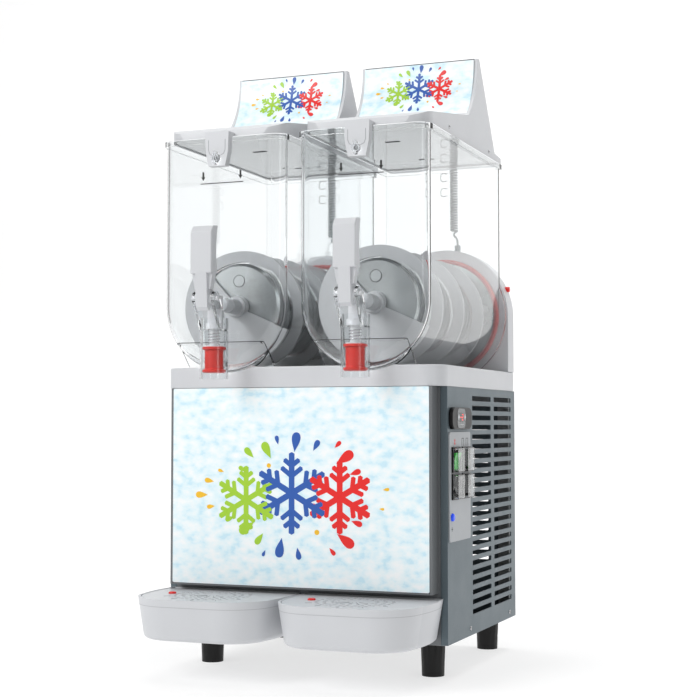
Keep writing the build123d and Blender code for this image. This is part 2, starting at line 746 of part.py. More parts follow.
def topper_panel(side):
    """Curved light panel in the front of the lid's header."""
    with BuildPart() as piece:
        with BuildSketch(Plane.YZ.offset(side * BOWL_X - 80.5)):
            with BuildLine():
                ThreePointArc((54, 743.5), (77, 775), (88.5, 827))
            trace(line_width=3.0)
        extrude(amount=161)
    return piece.part


def lid_lock(side):
    """Quarter-turn lock knob in the lid's tongue."""
    x = side * BOWL_X
    y = BOWL_FRONT - 15
    with BuildPart() as piece:
        rod((x, y - 6, 667), (0, 1, 0), 5.5, 5.8)
        rod((x, y - 6, 667), (0, 1, 0), 3.0, 13.6)
        block((x - 2, x + 2), (y - 8, y - 1), (658.5, 675.5))
        fillet(piece.edges().filter_by(Axis.Y), 1.0)
    return piece.part


# ---------------------------------------------------------------- lid light leads

CORD_Y = 206.0
COIL_LOW = 604.0
COIL_R = 6.3
LEAD_R = 1.5


def coil_x(side):
    """Place of the coiled lead, a little right of the bowl's centre."""
    return side * BOWL_X + 12.0


def cord_coil(side):
    """Outer shape of the coiled lead that climbs to the lid."""
    with BuildPart() as piece:
        rod((coil_x(side), CORD_Y, COIL_LOW), (0, 0, 1), COIL_R, LID_Z - COIL_LOW)
    return piece.part


def cord_tail(side):
    """Straight end of the lead, from the plug up to the coil."""
    x = coil_x(side)
    with BuildPart() as piece:
        with BuildLine() as route:
            FilletPolyline((x + 5.5, CORD_Y, 584), (x + 5.5, CORD_Y, 594), (x, CORD_Y, 598), (x, CORD_Y, COIL_LOW),
                           radius=2.5)
        with BuildSketch(Plane(origin=route.line @ 0, z_dir=route.line % 0)):
            Circle(LEAD_R)
        sweep(path=route.line)
    return piece.part


def cord_plugs():
    """Two plugs that stand in the top of the rear housing."""
    with BuildPart() as piece:
        for side in SIDES.values():
            x = coil_x(side) + 5.5
            rod((x, CORD_Y, 560), (0, 0, 1), 2.6, 16)
            rod((x, CORD_Y, 575), (0, 0, 1), 4.2, 9)
        fillet(piece.faces().group_by(Axis.Z)[-1].edges(), 0.8)
    return piece.part


# ---------------------------------------------------------------- drip trays

def tray_outline(x, inset):
    """Plan of a drip tray: bowed sides and a broad rounded front."""
    middle = (TRAY_FRONT + TRAY_REAR) / 2
    half = 95.5 - inset
    front = TRAY_FRONT + inset
    rear = TRAY_REAR - inset
    with BuildSketch() as plan:
        with BuildLine():
            Line((x - half + 4, rear), (x + half - 4, rear))
            ThreePointArc((x + half - 4, rear), (x + half, middle + 12), (x + half - 3, middle - 12))
            ThreePointArc((x + half - 3, middle - 12), (x + half - 24, front + 13), (x + 32, front))
            Line((x + 32, front), (x - 32, front))
            ThreePointArc((x - 32, front), (x - half + 24, front + 13), (x - half + 3, middle - 12))
            ThreePointArc((x - half + 3, middle - 12), (x - half, middle + 12), (x - half + 4, rear))
        make_face()
    return plan.sketch


def drip_tray(side):
    """Tapered tray that hangs on the cabinet front, open at the top."""
    x = side * BOWL_X
    with BuildPart() as piece:
        with BuildSketch(Plane.XY.offset(TRAY_TOP)):
            add(tray_outline(x, 0))
        extrude(amount=TRAY_BOTTOM - TRAY_TOP, taper=9.0)
        fillet(piece.faces().sort_by(Axis.Z)[0].edges(), 7.0)
        with BuildSketch(Plane.XY.offset(TRAY_TOP)):
            add(tray_outline(x, 2.6))
        extrude(amount=TRAY_BOTTOM + 3 - TRAY_TOP, taper=9.0, mode=Mode.SUBTRACT)
        with BuildSketch(Plane.XY.offset(TRAY_TOP - 7)):
            add(tray_outline(x, 2.6))
            add(tray_outline(x, 9.0), mode=Mode.SUBTRACT)
        extrude(amount=3)
    return piece.part


def drip_grille(side):
    """Perforated cover plate of a drip tray, with a float hole and a lifting gap at the rear."""
    x = side * BOWL_X
    low = TRAY_TOP - 3.8
    rings = ((28.0, 18), (38.0, 26), (48.0, 34))
    with BuildPart() as piece:
        with BuildSketch(Plane.XY.offset(low)):
            add(tray_outline(x, 3.6))
            with Locations((x, GRILLE_REAR + 10)):
                Rectangle(200, 20, mode=Mode.SUBTRACT)
            for radius, count in rings:
                with Locations((x, TAP_Y)):
                    with PolarLocations(radius, count):
                        Circle(2.4, mode=Mode.SUBTRACT)
            with Locations((x + FLOAT_DX, FLOAT_Y)):
                Circle(5.4, mode=Mode.SUBTRACT)
        extrude(amount=3.4)
    return piece.part


def tray_float(side):
    """Red float that rises through the grille when the tray is full."""
    with BuildPart() as piece:
        rod((side * BOWL_X + FLOAT_DX, FLOAT_Y, 82), (0, 0, 1), 5.0, 24.5)
        fillet(piece.faces().sort_by(Axis.Z)[-1].edges(), 1.5)
    return piece.part


def release_button():
    """Red push button on the right flank of the rear housing."""
    with BuildPart() as piece:
        rod((176, 218, 518), (1, 0, 0), 4.0, 16)
        fillet(piece.faces().sort_by(Axis.X)[-1].edges(), 1.2)
    return piece.part


# ---------------------------------------------------------------- write the pieces

SINGLE = (chassis, rear_panel, front_frame, front_panel, deck, rear_housing, feet, compressor, condenser,
          fan_motor, fan_blade, control_plate, thermostat, switch_frames, status_lamp, power_gland,
          evaporators, bowl_seals, gear_motors, auger_bushes, cord_plugs, release_button)
PAIRED = (side_panel, bowl, drive_shaft, auger, tap_handle, piston, piston_seal, tap_spring, lid, lid_cover,
          topper_panel, lid_lock, cord_coil, cord_tail, drip_tray, drip_grille, tray_float)
ROCKERS = {"rocker_power": (SWITCH_Y[0], SWITCH_Z[0], ROCKER_TILT),
           "rocker_light": (SWITCH_Y[1], SWITCH_Z[0], -ROCKER_TILT),
           "rocker_auger_left": (SWITCH_Y[0], SWITCH_Z[1], -ROCKER_TILT),
           "rocker_auger_right": (SWITCH_Y[1], SWITCH_Z[1], -ROCKER_TILT)}

for make in SINGLE:
    save(make.__name__, make())
for make in PAIRED:
    for side_name, side_sign in SIDES.items():
        save(f"{make.__name__}_{side_name}", make(side_sign))
for rocker_name, place in ROCKERS.items():
    save(rocker_name, rocker(*place))
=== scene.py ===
"""Studio scene for the twin-bowl slush machine: materials, small detail, light and camera."""

import json
from math import atan2, cos, hypot, pi, radians, sin, tau

import bmesh
import bpy
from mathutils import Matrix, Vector


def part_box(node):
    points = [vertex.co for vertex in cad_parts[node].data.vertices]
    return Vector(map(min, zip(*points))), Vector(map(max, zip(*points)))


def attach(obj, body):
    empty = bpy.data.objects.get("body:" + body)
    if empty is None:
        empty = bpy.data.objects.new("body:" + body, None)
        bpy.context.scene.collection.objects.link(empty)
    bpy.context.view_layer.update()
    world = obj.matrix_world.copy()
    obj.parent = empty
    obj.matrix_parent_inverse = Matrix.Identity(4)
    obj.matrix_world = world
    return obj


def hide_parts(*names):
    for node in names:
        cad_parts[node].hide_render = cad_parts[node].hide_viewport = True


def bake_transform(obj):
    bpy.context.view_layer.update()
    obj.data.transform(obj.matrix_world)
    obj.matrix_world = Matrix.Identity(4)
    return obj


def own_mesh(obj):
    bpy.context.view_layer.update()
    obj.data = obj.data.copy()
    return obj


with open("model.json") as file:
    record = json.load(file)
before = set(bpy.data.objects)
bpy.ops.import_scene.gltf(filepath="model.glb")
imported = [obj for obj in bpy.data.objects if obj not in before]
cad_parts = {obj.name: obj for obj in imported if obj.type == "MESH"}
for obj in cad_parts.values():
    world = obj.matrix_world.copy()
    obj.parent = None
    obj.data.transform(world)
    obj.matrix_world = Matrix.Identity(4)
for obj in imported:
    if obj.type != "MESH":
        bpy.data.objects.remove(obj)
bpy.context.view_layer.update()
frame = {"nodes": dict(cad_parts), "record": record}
NODES = frame["nodes"]
MM = 0.001
SIDES = {"left": -1, "right": 1}
BOWL_X = 97.5 * MM  # from the machine's middle to the middle of a bowl
BOWL_FRONT = -138.0 * MM  # outer face of a bowl's front wall
TONGUE_FRONT = BOWL_FRONT - 15.0 * MM  # front face of the tongue on a lid
LID_Z = 697.3 * MM  # underside of a lid's edge
TAP_Y = -158.0 * MM  # upright axis of a tap
SINK = 0.05 * MM  # how far a raised mark reaches into the face under it
STACK_STEP = 0.004 * MM  # how far each overlapping shape stands above the last


# ---------------------------------------------------------------- camera

CAMERA_LENS = 75.99
CAMERA_SENSOR = 36.0
CAMERA_PLACE = (0.7594, -1.8527, 0.3218)
CAMERA_YAW = radians(21.596)
CAMERA_PITCH = radians(2.953)


def add_camera():
    """Long lens, a little below the middle of the machine and to its right."""
    camera = bpy.data.objects.new("camera", bpy.data.cameras.new("camera"))
    camera.data.lens = CAMERA_LENS
    camera.data.sensor_width = CAMERA_SENSOR
    camera.location = CAMERA_PLACE
    level = cos(CAMERA_PITCH)
    aim = Vector((-sin(CAMERA_YAW) * level, cos(CAMERA_YAW) * level, sin(CAMERA_PITCH)))
    camera.rotation_euler = aim.to_track_quat("-Z", "Y").to_euler()
    bpy.context.scene.collection.objects.link(camera)
    bpy.context.scene.camera = camera


# ---------------------------------------------------------------- materials

class Surface:
    """One Principled material with procedural colour, roughness and bump."""

    def __init__(self, name, color, roughness=0.4, metallic=0.0, **inputs):
        self.material = bpy.data.materials.new(name)
        self.material.use_nodes = True
        self.tree = self.material.node_tree
        self.shader = self.tree.nodes["Principled BSDF"]
        self.shader.inputs["Base Color"].default_value = (*color, 1.0)
        self.shader.inputs["Roughness"].default_value = roughness
        self.shader.inputs["Metallic"].default_value = metallic
        for socket, value in inputs.items():
            self.shader.inputs[socket.replace("_", " ")].default_value = value
        self.coords = self.tree.nodes.new("ShaderNodeTexCoord").outputs["Object"]

    def noise(self, scale, stretch=(1, 1, 1), detail=3.0):
        """Noise in the object's own space; a stretch above 1 squeezes that axis."""
        mapping = self.tree.nodes.new("ShaderNodeMapping")
        mapping.inputs["Scale"].default_value = stretch
        self.tree.links.new(self.coords, mapping.inputs["Vector"])
        texture = self.tree.nodes.new("ShaderNodeTexNoise")
        texture.inputs["Scale"].default_value = scale
        texture.inputs["Detail"].default_value = detail
        self.tree.links.new(mapping.outputs["Vector"], texture.inputs["Vector"])
        return texture.outputs["Fac"]

    def ramp(self, value, stops):
        """Colour ramp over (position, colour) stops."""
        node = self.tree.nodes.new("ShaderNodeValToRGB")
        while len(node.color_ramp.elements) < len(stops):
            node.color_ramp.elements.new(0.5)
        for element, (position, color) in zip(node.color_ramp.elements, stops):
            element.position = position
            element.color = (*color, 1.0)
        self.tree.links.new(value, node.inputs["Fac"])
        return node.outputs["Color"]

    def vary_color(self, value, stops):
        """Colour that follows a value through a ramp."""
        self.tree.links.new(self.ramp(value, stops), self.shader.inputs["Base Color"])
        return self

    def vary_roughness(self, value, low, high):
        """Roughness that follows a value between two limits."""
        node = self.tree.nodes.new("ShaderNodeMapRange")
        node.inputs["To Min"].default_value = low
        node.inputs["To Max"].default_value = high
        self.tree.links.new(value, node.inputs["Value"])
        self.tree.links.new(node.outputs["Result"], self.shader.inputs["Roughness"])
        return self

    def bump(self, value, strength, distance):
        """Fine relief that follows a value; distance is its height in metres."""
        node = self.tree.nodes.new("ShaderNodeBump")
        node.inputs["Strength"].default_value = strength
        node.inputs["Distance"].default_value = distance
        self.tree.links.new(value, node.inputs["Height"])
        self.tree.links.new(node.outputs["Normal"], self.shader.inputs["Normal"])
        return self


def shades(color, spread):
    """Two stops a little darker and lighter than a colour."""
    darker = tuple(c * (1 - spread) for c in color)
    lighter = tuple(min(1, c * (1 + spread)) for c in color)
    return [(0.3, darker), (0.7, lighter)]


def moulded_plastic(name, color, roughness=0.36, grain=0.25, shine=0.5):
    """Satin moulded plastic with faint flow marks and a fine spark-eroded grain."""
    s = Surface(name, color, roughness, IOR=1.5, Specular_IOR_Level=shine)
    s.vary_color(s.noise(9.0), shades(color, 0.02))
    s.vary_roughness(s.noise(60.0), roughness - 0.05, roughness + 0.07)
    return s.bump(s.noise(1800.0), grain, 0.00006).material


def painted_sheet(name, color):
    """Powder-coated sheet: fine orange peel and a slight speckle."""
    s = Surface(name, color, 0.42, metallic=0.35)
    s.vary_color(s.noise(700.0, detail=2.0), shades(color, 0.06))
    s.vary_roughness(s.noise(25.0), 0.34, 0.5)
    return s.bump(s.noise(900.0), 0.3, 0.00008).material


def brushed_metal(name, color, stretch, roughness=0.3):
    """Metal with fine lines; the axis with the large stretch crosses them."""
    s = Surface(name, color, roughness, metallic=1.0)
    lines = s.noise(6.0, stretch, 4.0)
    s.vary_color(lines, shades(color, 0.10))
    s.vary_roughness(lines, roughness - 0.1, roughness + 0.12)
    return s.bump(lines, 0.12, 0.0001).material


def clear_plastic(name):
    """Clear moulded plastic, with a faint waviness in its surface."""
    s = Surface(name, (0.97, 0.985, 0.99), 0.02, IOR=1.45, Transmission_Weight=1.0)
    return s.bump(s.noise(14.0), 0.15, 0.0004).material


ICE_STOPS = [
    (0.34, (0.60, 0.83, 0.93)),
    (0.43, (0.75, 0.91, 0.965)),
    (0.53, (0.84, 0.945, 0.975)),
    (0.66, (0.93, 0.97, 0.98)),
]


def ice_print(name):
    """Print of frosted ice: white with pale blue clouds and fine crystals."""
    s = Surface(name, (0.80, 0.92, 0.96), 0.3, Coat_Weight=0.15, Coat_Roughness=0.2)
    s.vary_color(s.noise(62.0, (1, 1, 1.5), detail=14.0), ICE_STOPS)
    return s.bump(s.noise(500.0), 0.05, 0.00005).material


def rubber(name, color, roughness=0.5):
    """Moulded rubber with a dusty, uneven sheen."""
    s = Surface(name, color, roughness, IOR=1.52, Specular_IOR_Level=0.3)
    s.vary_color(s.noise(40.0), shades(color, 0.12))
    s.vary_roughness(s.noise(90.0), roughness - 0.1, roughness + 0.12)
    return s.bump(s.noise(1200.0), 0.3, 0.0001).material


def lit_plastic(name, color, strength):
    """Translucent lens that glows a little."""
    s = Surface(name, color, 0.2, Emission_Color=(*color, 1.0), Emission_Strength=strength)
    return s.bump(s.noise(900.0), 0.15, 0.00005).material


def make_materials():
    """Every material of the machine, by a short key."""
    return {
        "white": moulded_plastic("white_plastic", (0.60, 0.612, 0.635)),
        "auger": moulded_plastic("auger_plastic", (0.40, 0.41, 0.425), 0.42),
        "black": moulded_plastic("black_plastic", (0.006, 0.006, 0.007), 0.3, shine=0.15),
        "plate": moulded_plastic("plate_grey", (0.40, 0.42, 0.44), 0.45),
        "red": moulded_plastic("red_plastic", (0.78, 0.015, 0.012), 0.28),
        "blue": lit_plastic("blue_lens", (0.005, 0.05, 0.60), 0.5),
        "green": lit_plastic("green_lens", (0.015, 0.42, 0.03), 0.08),
        "panel": painted_sheet("steel_panel", (0.112, 0.146, 0.166)),
        "frame": painted_sheet("frame_metal", (0.17, 0.178, 0.187)),
        "zinc": brushed_metal("galvanised", (0.52, 0.53, 0.54), (3, 3, 60), 0.42),
        "steel": brushed_metal("stainless", (0.50, 0.525, 0.53), (1.5, 90, 1.5), 0.24),
        "alu": brushed_metal("aluminium", (0.66, 0.67, 0.68), (2, 2, 80), 0.38),
        "enamel": moulded_plastic("black_enamel", (0.01, 0.01, 0.01), 0.2),
        "clear": clear_plastic("clear_plastic"),
        # painted shade: near-black plastic for the wire that stands in for the dark line along each bowl's
        # ledge
        "ledge_shade": moulded_plastic("painted_shade_wire", (0.03, 0.031, 0.033), 0.2, 0.05),
        "ice": ice_print("graphic_panel"),
        "foot": rubber("black_rubber", (0.003, 0.003, 0.003), 0.42),
        "seal": rubber("red_rubber", (0.55, 0.022, 0.014), 0.38),
        "cord": rubber("cord_grey", (0.13, 0.165, 0.18), 0.45),
        "dial_grey": moulded_plastic("dial_grey", (0.13, 0.14, 0.145), 0.25),
        "glossy_black": moulded_plastic("glossy_black", (0.006, 0.006, 0.007), 0.08, 0.05),
        "digit": lit_plastic("digit_red", (0.85, 0.03, 0.02), 1.5),
        # painted shade: mid grey for the band along the moulded step round each tray
        "step_line_shade": moulded_plastic("painted_step_shade", (0.44, 0.45, 0.47), 0.5),
        # painted shade: dark grey for the lines drawn where the tongue's U-shaped recess and the grille's
        # ribs are shaded
        "line_shade": moulded_plastic("painted_shade_grey", (0.30, 0.31, 0.33), 0.5),
        # used for printed marks, dark strips and rings, and for painted shade in the screws' cross recesses
        "print_and_shade_black": moulded_plastic("print_and_shade_black", (0.012, 0.012, 0.012), 0.5),
        "leaf": moulded_plastic("print_green", (0.36, 0.62, 0.03), 0.35),
        "sea": moulded_plastic("print_blue", (0.02, 0.10, 0.42), 0.35),
        "cherry": moulded_plastic("print_red", (0.80, 0.01, 0.008), 0.35),
        "sun": moulded_plastic("print_yellow", (0.90, 0.52, 0.02), 0.35),
        "chrome": brushed_metal("spring_steel", (0.55, 0.55, 0.56), (20, 20, 20), 0.2),
    }


# record slot -> material key, for the CAD nodes
SLOT_KEYS = {
    "steel_panel": "panel", "frame_metal": "frame", "galvanised": "zinc", "white_plastic": "white",
    "graphic_panel": "ice", "clear_plastic": "clear", "black_rubber": "foot", "red_rubber": "seal",
    "stainless": "steel", "auger_plastic": "auger", "black_enamel": "enamel", "aluminium": "alu",
    "black_plastic": "black", "plate_grey": "plate", "green_lens": "green", "blue_lens": "blue",
    "spring_steel": "chrome", "cord_grey": "cord", "red_plastic": "red",
}


# CAD nodes whose moulded edges are rounded, and by how many millimetres
SOFT_EDGES = {"tap_handle_left": 1.6, "tap_handle_right": 1.6}


def dress_cad_nodes():
    """Gives every CAD node the material of its record slot."""
    for part in frame["record"]["subparts"]:
        node = NODES[part["node"]]
        node.data.materials.clear()
        node.data.materials.append(MATERIALS[SLOT_KEYS[part["material_slot"]]])
        if part["material_slot"] == "clear_plastic":
            node.visible_shadow = False


# ---------------------------------------------------------------- piece helpers

def add_piece(name, mesh, material, smooth=False):
    """Links a finished mesh as a piece with its material."""
    for polygon in mesh.polygons:
        polygon.use_smooth = smooth
    mesh.materials.append(MATERIALS[material])
    piece = bpy.data.objects.new(name, mesh)
    bpy.context.scene.collection.objects.link(piece)
    return piece


def add_mesh(name, mesh, body, material, smooth=False):
    """Adds a piece that rides on a body."""
    piece = add_piece(name, mesh, material, smooth)
    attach(piece, body)
    return piece


def finished(name, mesh):
    """Mesh data made from a bmesh, which is freed."""
    data = bpy.data.meshes.new(name)
    mesh.to_mesh(data)
    mesh.free()
    return data


def prisms(name, outlines, place, depth):
    """One mesh of flat shapes, each a hair thicker than the last.

    place maps (u, v, height) to a point.
    """
    mesh = bmesh.new()
    for number, outline in enumerate(outlines):
        thickness = depth + number * STACK_STEP
        back = [mesh.verts.new(place(u, v, 0.0)) for u, v in outline]
        front = [mesh.verts.new(place(u, v, thickness)) for u, v in outline]
        mesh.faces.new(front)
        mesh.faces.new(list(reversed(back)))
        for i in range(len(outline)):
            j = (i + 1) % len(outline)
            mesh.faces.new((back[i], back[j], front[j], front[i]))
    bmesh.ops.recalc_face_normals(mesh, faces=mesh.faces)
    return finished(name, mesh)


def add_print(name, outlines, place, depth, body, material):
    """Adds flat raised shapes as one piece that rides on a body."""
    return add_mesh(name, prisms(name, outlines, place, depth), body, material)


# ---------------------------------------------------------------- flat outlines

def disc(u, v, radius, steps=28):
    """Outline of a circle."""
    angles = [tau * i / steps for i in range(steps)]
    return [(u + radius * cos(angle), v + radius * sin(angle)) for angle in angles]


def box_outline(u0, u1, v0, v1):
    """Outline of an upright rectangle."""
    return [(u0, v0), (u1, v0), (u1, v1), (u0, v1)]


def rounded(u0, u1, v0, v1, radius, steps=6):
    """Outline of a rectangle with round corners."""
    left, right = u0 + radius, u1 - radius
    low, high = v0 + radius, v1 - radius
    points = []
    for quarter, (cu, cv) in enumerate(((right, high), (left, high), (left, low), (right, low))):
        for i in range(steps + 1):
            angle = pi / 2 * (quarter + i / steps)
            points.append((cu + radius * cos(angle), cv + radius * sin(angle)))
    return points


def bar(u0, v0, u1, v1, width):
    """Outline of a straight bar between two points, with short pointed ends."""
    length = hypot(u1 - u0, v1 - v0)
    du, dv = (u1 - u0) / length, (v1 - v0) / length
    half = width / 2
    quarter = half * 0.5
    shape = [
        (-quarter, -half), (length + quarter, -half), (length + half, 0),
        (length + quarter, half), (-quarter, half), (-half, 0),
    ]
    return [(u0 + du * a - dv * b, v0 + dv * a + du * b) for a, b in shape]


def strip(points, width):
    """Bars that follow a line of points."""
    return [bar(*start, *end, width) for start, end in zip(points, points[1:])]


FLAKE_ARMS = 6
ARM_LENGTHS = 4
BRANCH_PAIRS = ((0.45, 0.32), (0.72, 0.22))  # start and length, as parts of the arm
BRANCH_TURN = pi / 3.4
BRANCH_WIDTH = 0.8  # as a part of the arm's width


def snowflake(u, v, radius, width):
    """Bars of a snowflake; its arms are cut in short lengths, to follow a curved panel."""
    outlines = []
    for arm in range(FLAKE_ARMS):
        angle = tau * arm / FLAKE_ARMS + pi / 6
        for i in range(ARM_LENGTHS):
            a, b = radius * i / ARM_LENGTHS, radius * (i + 1) / ARM_LENGTHS
            start = (u + a * cos(angle), v + a * sin(angle))
            end = (u + b * cos(angle), v + b * sin(angle))
            outlines.append(bar(*start, *end, width))
        for reach, branch in BRANCH_PAIRS:
            root = (u + reach * radius * cos(angle), v + reach * radius * sin(angle))
            for turn in (-1, 1):
                way = angle + turn * BRANCH_TURN
                tip = (root[0] + branch * radius * cos(way), root[1] + branch * radius * sin(way))
                outlines.append(bar(*root, *tip, width * BRANCH_WIDTH))
    return outlines


def drop(u, v, length, angle):
    """Outline of a teardrop with its round end outward."""
    steps = 24
    points = []
    for i in range(steps):
        t = tau * i / steps
        along = length * 0.5 * (1 - cos(t))
        across = length * 0.34 * sin(t) * sin(t / 2) ** 1.5
        points.append((u + along * cos(angle) - across * sin(angle),
                       v + along * sin(angle) + across * cos(angle)))
    return points


# ---------------------------------------------------------------- wires

POINTS_PER_TURN = 12


def spline_object(name, route, radius):
    """A smooth round wire along a route, as a curve object."""
    curve = bpy.data.curves.new(name, "CURVE")
    curve.dimensions = "3D"
    curve.bevel_depth = radius
    curve.bevel_resolution = 4
    curve.use_fill_caps = True
    spline = curve.splines.new("NURBS")
    spline.points.add(len(route) - 1)
    for point, place in zip(spline.points, route):
        point.co = (*place, 1.0)
    spline.order_u = 3
    spline.use_endpoint_u = True
    spline.resolution_u = 4
    wire = bpy.data.objects.new(name, curve)
    bpy.context.scene.collection.objects.link(wire)
    return wire


def wire_mesh(name, route, radius):
    """The wire as a mesh, and the points that its middle follows."""
    wire = spline_object(name + "_curve", route, radius)
    tube = bpy.data.meshes.new_from_object(wire)
    wire.data.bevel_depth = 0.0
    line = bpy.data.meshes.new_from_object(wire)
    path = [tuple(vertex.co) for vertex in line.vertices]
    bpy.data.objects.remove(wire)
    tube.name = name
    tube.materials.clear()
    return tube, path


def coil_points(x, y, radius, low, rise, turns):
    """Points of a coil that climbs round an upright axis."""
    count = int(turns * POINTS_PER_TURN)
    points = []
    for i in range(count + 1):
        turn = tau * i / POINTS_PER_TURN
        points.append((x + radius * cos(turn), y + radius * sin(turn), low + rise * i / count))
    return points


LEAD_R = 1.5 * MM
CORD_Y = 206.0 * MM
COIL_X = 12.0 * MM  # axis of the coil, from the middle of its bowl
COIL_LOW = 604.0 * MM
COIL_TOP = 697.3 * MM
COIL_MEAN_R = 4.75 * MM
COIL_TURNS = 23
PLUG_X = 5.5 * MM  # plug, from the axis of the coil
PLUG_TOP = 584 * MM
STRAIGHT_TOP = 594 * MM
BEND_TOP = 598 * MM


def curly_lead(side_name, side):
    """Short straight end above the plug, and curly coil that climbs into the lid."""
    x = side * BOWL_X + COIL_X
    plug_x = x + PLUG_X
    route = [
        (plug_x, CORD_Y, PLUG_TOP), (plug_x, CORD_Y, STRAIGHT_TOP),
        (x, CORD_Y, BEND_TOP), (x, CORD_Y, COIL_LOW - LEAD_R),
    ]
    low = COIL_LOW + LEAD_R
    route += coil_points(x, CORD_Y, COIL_MEAN_R, low, COIL_TOP - LEAD_R - low, COIL_TURNS)
    tube, path = wire_mesh(f"light_lead_{side_name}", route, LEAD_R)
    lead = add_piece(f"light_lead_{side_name}", tube, "cord", smooth=True)
    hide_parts(f"cord_coil_{side_name}", f"cord_tail_{side_name}")
    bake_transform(lead)


SPRING_LOW = 423.6 * MM
SPRING_HIGH = 441.3 * MM
SPRING_WIRE_R = 0.55 * MM
SPRING_MEAN_R = 8.0 * MM
SPRING_TURNS = 4.5


def tap_spring(side_name, side):
    """Open coil spring between the piston's collar and the bridge over the tap."""
    x = side * BOWL_X
    rise = SPRING_HIGH - SPRING_LOW - 2 * SPRING_WIRE_R
    route = coil_points(x, TAP_Y, SPRING_MEAN_R, SPRING_LOW + SPRING_WIRE_R, rise, SPRING_TURNS)
    tube, _ = wire_mesh(f"spring_wire_{side_name}", route, SPRING_WIRE_R)
    spring = add_mesh(f"spring_wire_{side_name}", tube, "cabinet", "chrome", smooth=True)
    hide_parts(f"tap_spring_{side_name}")
    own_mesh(spring)


CLIP_HEIGHTS = (662 * MM, 684 * MM)
CLIP_Y = 196.5 * MM
CLIP_WIRE_R = 0.8 * MM
CLIP_BEND = ((6, 5), (2, 6), (-2, 6), (-4, 3), (-4, 0), (-4, -3), (-2, -6), (2, -6), (6, -5))


def cord_clips(side_name, side):
    """Two open spring clips on the bowl's rear wall beside the curly lead."""
    x = side * BOWL_X - 1.0 * MM
    for number, z in enumerate(CLIP_HEIGHTS):
        name = f"lead_clip_{side_name}_{number}"
        route = [(x + u * MM, CLIP_Y, z + v * MM) for u, v in CLIP_BEND]
        tube, _ = wire_mesh(name, route, CLIP_WIRE_R)
        add_mesh(name, tube, "cabinet", "chrome", smooth=True)


# the painted shade line along the ledge's edge, in millimetres: from the bowl's middle, from its front wall
# and from the floor
LEDGE_LINE = (
    (-60, 1, 428), (-60, -5, 428), (-57, -7.6, 428), (-46, -8, 428), (46, -8, 428),
    (57, -7.6, 428), (60, -5, 428), (61, 0, 428), (62, 3, 425), (62, 28, 400),
)
LEDGE_LINE_R = 0.55 * MM


def painted_ledge_line(side_name, side):
    """Painted shade: a dark wire for the dark line that the light makes along the edge of the bowl's ledge
    and down its skirt.
    """
    x = side * BOWL_X
    route = [(x + u * MM, BOWL_FRONT + v * MM, z * MM) for u, v, z in LEDGE_LINE]
    tube, _ = wire_mesh(f"ledge_edge_{side_name}", route, LEDGE_LINE_R)
    add_mesh(f"ledge_edge_{side_name}", tube, "cabinet", "ledge_shade", smooth=True)


# ---------------------------------------------------------------- printed marks

# snowflakes and dots of the motif: middle, radius and, for a flake, the width of its arms
FLAKES = {"leaf": (-62, -6, 42, 7), "sea": (4, 4, 50, 8), "cherry": (72, 0, 44, 8)}
DOTS = ((-29, 40, 3), (40, -46, 3.4))

# drops of the motif: direction in degrees, reach and length
DROPS = {
    "leaf": ((112, 62, 24), (128, 74, 18), (146, 66, 13), (222, 60, 26), (240, 66, 18), (205, 78, 14)),
    "sea": ((84, 68, 26), (66, 76, 16), (100, 80, 12), (262, 64, 26), (278, 78, 16), (250, 88, 9)),
    "cherry": ((40, 78, 28), (24, 84, 16), (52, 94, 12), (318, 82, 28), (336, 86, 16), (304, 92, 12)),
    "sun": ((168, 100, 14), (180, 106, 18), (190, 98, 12), (157, 92, 9), (6, 118, 9), (352, 114, 7)),
}
DROP_SPREAD = (1.12, 0.86)
MOTIF_DEPTH = 0.25 * MM


def printed_motif(prefix, body, place, scale):
    """Generic ice motif: three snowflakes with drops flying out, each colour its own piece."""
    shapes = {key: snowflake(*(size * scale for size in flake)) for key, flake in FLAKES.items()}
    shapes["sun"] = [disc(*(size * scale for size in dot)) for dot in DOTS]
    for key, drops in DROPS.items():
        for degrees_round, reach, length in drops:
            turn = radians(degrees_round)
            u, v = reach * DROP_SPREAD[0] * cos(turn), reach * DROP_SPREAD[1] * sin(turn)
            shapes[key].append(drop(u * scale, v * scale, length * scale, atan2(v, u)))
    for key, outlines in shapes.items():
        add_print(f"{prefix}_{key}", outlines, place, MOTIF_DEPTH, body, key)


def front_motif():
    """Motif on the flat front panel, a little left of its middle and below it."""
    low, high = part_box("front_panel")
    middle = (low + high) / 2
    left, down = 11 * MM, 12 * MM

    def place(u, v, height):
        return (middle.x - left + u, low.y + SINK - height, middle.z - down + v)

    printed_motif("front_motif", "cabinet", place, 0.98 * MM)


def circle_through(a, b, c):
    """Centre and radius of the circle through three (y, z) points."""
    d = 2 * (a[0] * (b[1] - c[1]) + b[0] * (c[1] - a[1]) + c[0] * (a[1] - b[1]))
    squares = [p[0] ** 2 + p[1] ** 2 for p in (a, b, c)]
    y = (squares[0] * (b[1] - c[1]) + squares[1] * (c[1] - a[1]) + squares[2] * (a[1] - b[1])) / d
    z = (squares[0] * (c[0] - b[0]) + squares[1] * (a[0] - c[0]) + squares[2] * (b[0] - a[0])) / d
    return (y, z), hypot(a[0] - y, a[1] - z)


# the curve of the header panel's rear face, as (y, z) points
HEADER_ARC = ((54 * MM, 743.5 * MM), (77 * MM, 775 * MM), (88.5 * MM, 827 * MM))
HEADER_PANEL_THICK = 1.5 * MM
HEADER_MOTIF_RISE = 0.58  # middle of the motif, as a part of the way up


